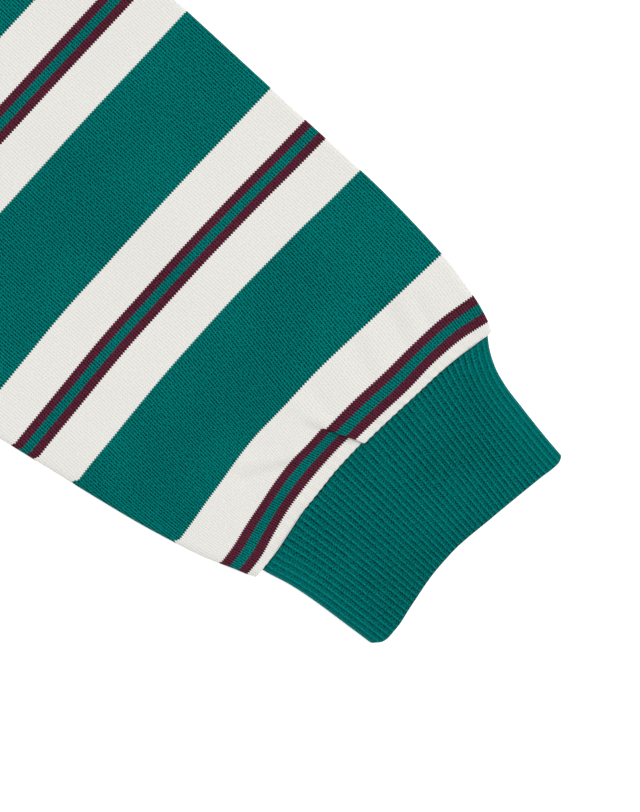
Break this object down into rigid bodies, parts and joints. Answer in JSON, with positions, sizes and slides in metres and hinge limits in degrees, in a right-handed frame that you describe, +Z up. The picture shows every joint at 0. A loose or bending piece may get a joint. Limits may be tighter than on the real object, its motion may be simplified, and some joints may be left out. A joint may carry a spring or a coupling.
{
  "type": "long-sleeved t-shirt",
  "caption": "Long-sleeved jersey t-shirt in broad and narrow stripes, with ribbed cuffs and neckband, laid flat with its front up.",
  "frame": {"origin": "bottom centre of the bounding box: on the surface the shirt lies on, under the middle of the shirt", "axes": "+X across the chest to the wearer's left sleeve, +Y up to the neck, +Z up out of the surface"},
  "size_m": [1.347, 0.686, 0.0074],
  "materials": {
    "striped_jersey": "cotton single jersey, knitted in cream, green and maroon stripes",
    "green_rib": "cotton rib knit, folded double"
  },
  "bodies": {
    "root": {"front": "striped_jersey", "back": "striped_jersey", "sleeve_left": "striped_jersey", "sleeve_right": "striped_jersey", "cuff_left": "green_rib", "cuff_right": "green_rib", "neckband": "green_rib"}
  },
  "joints": []
}
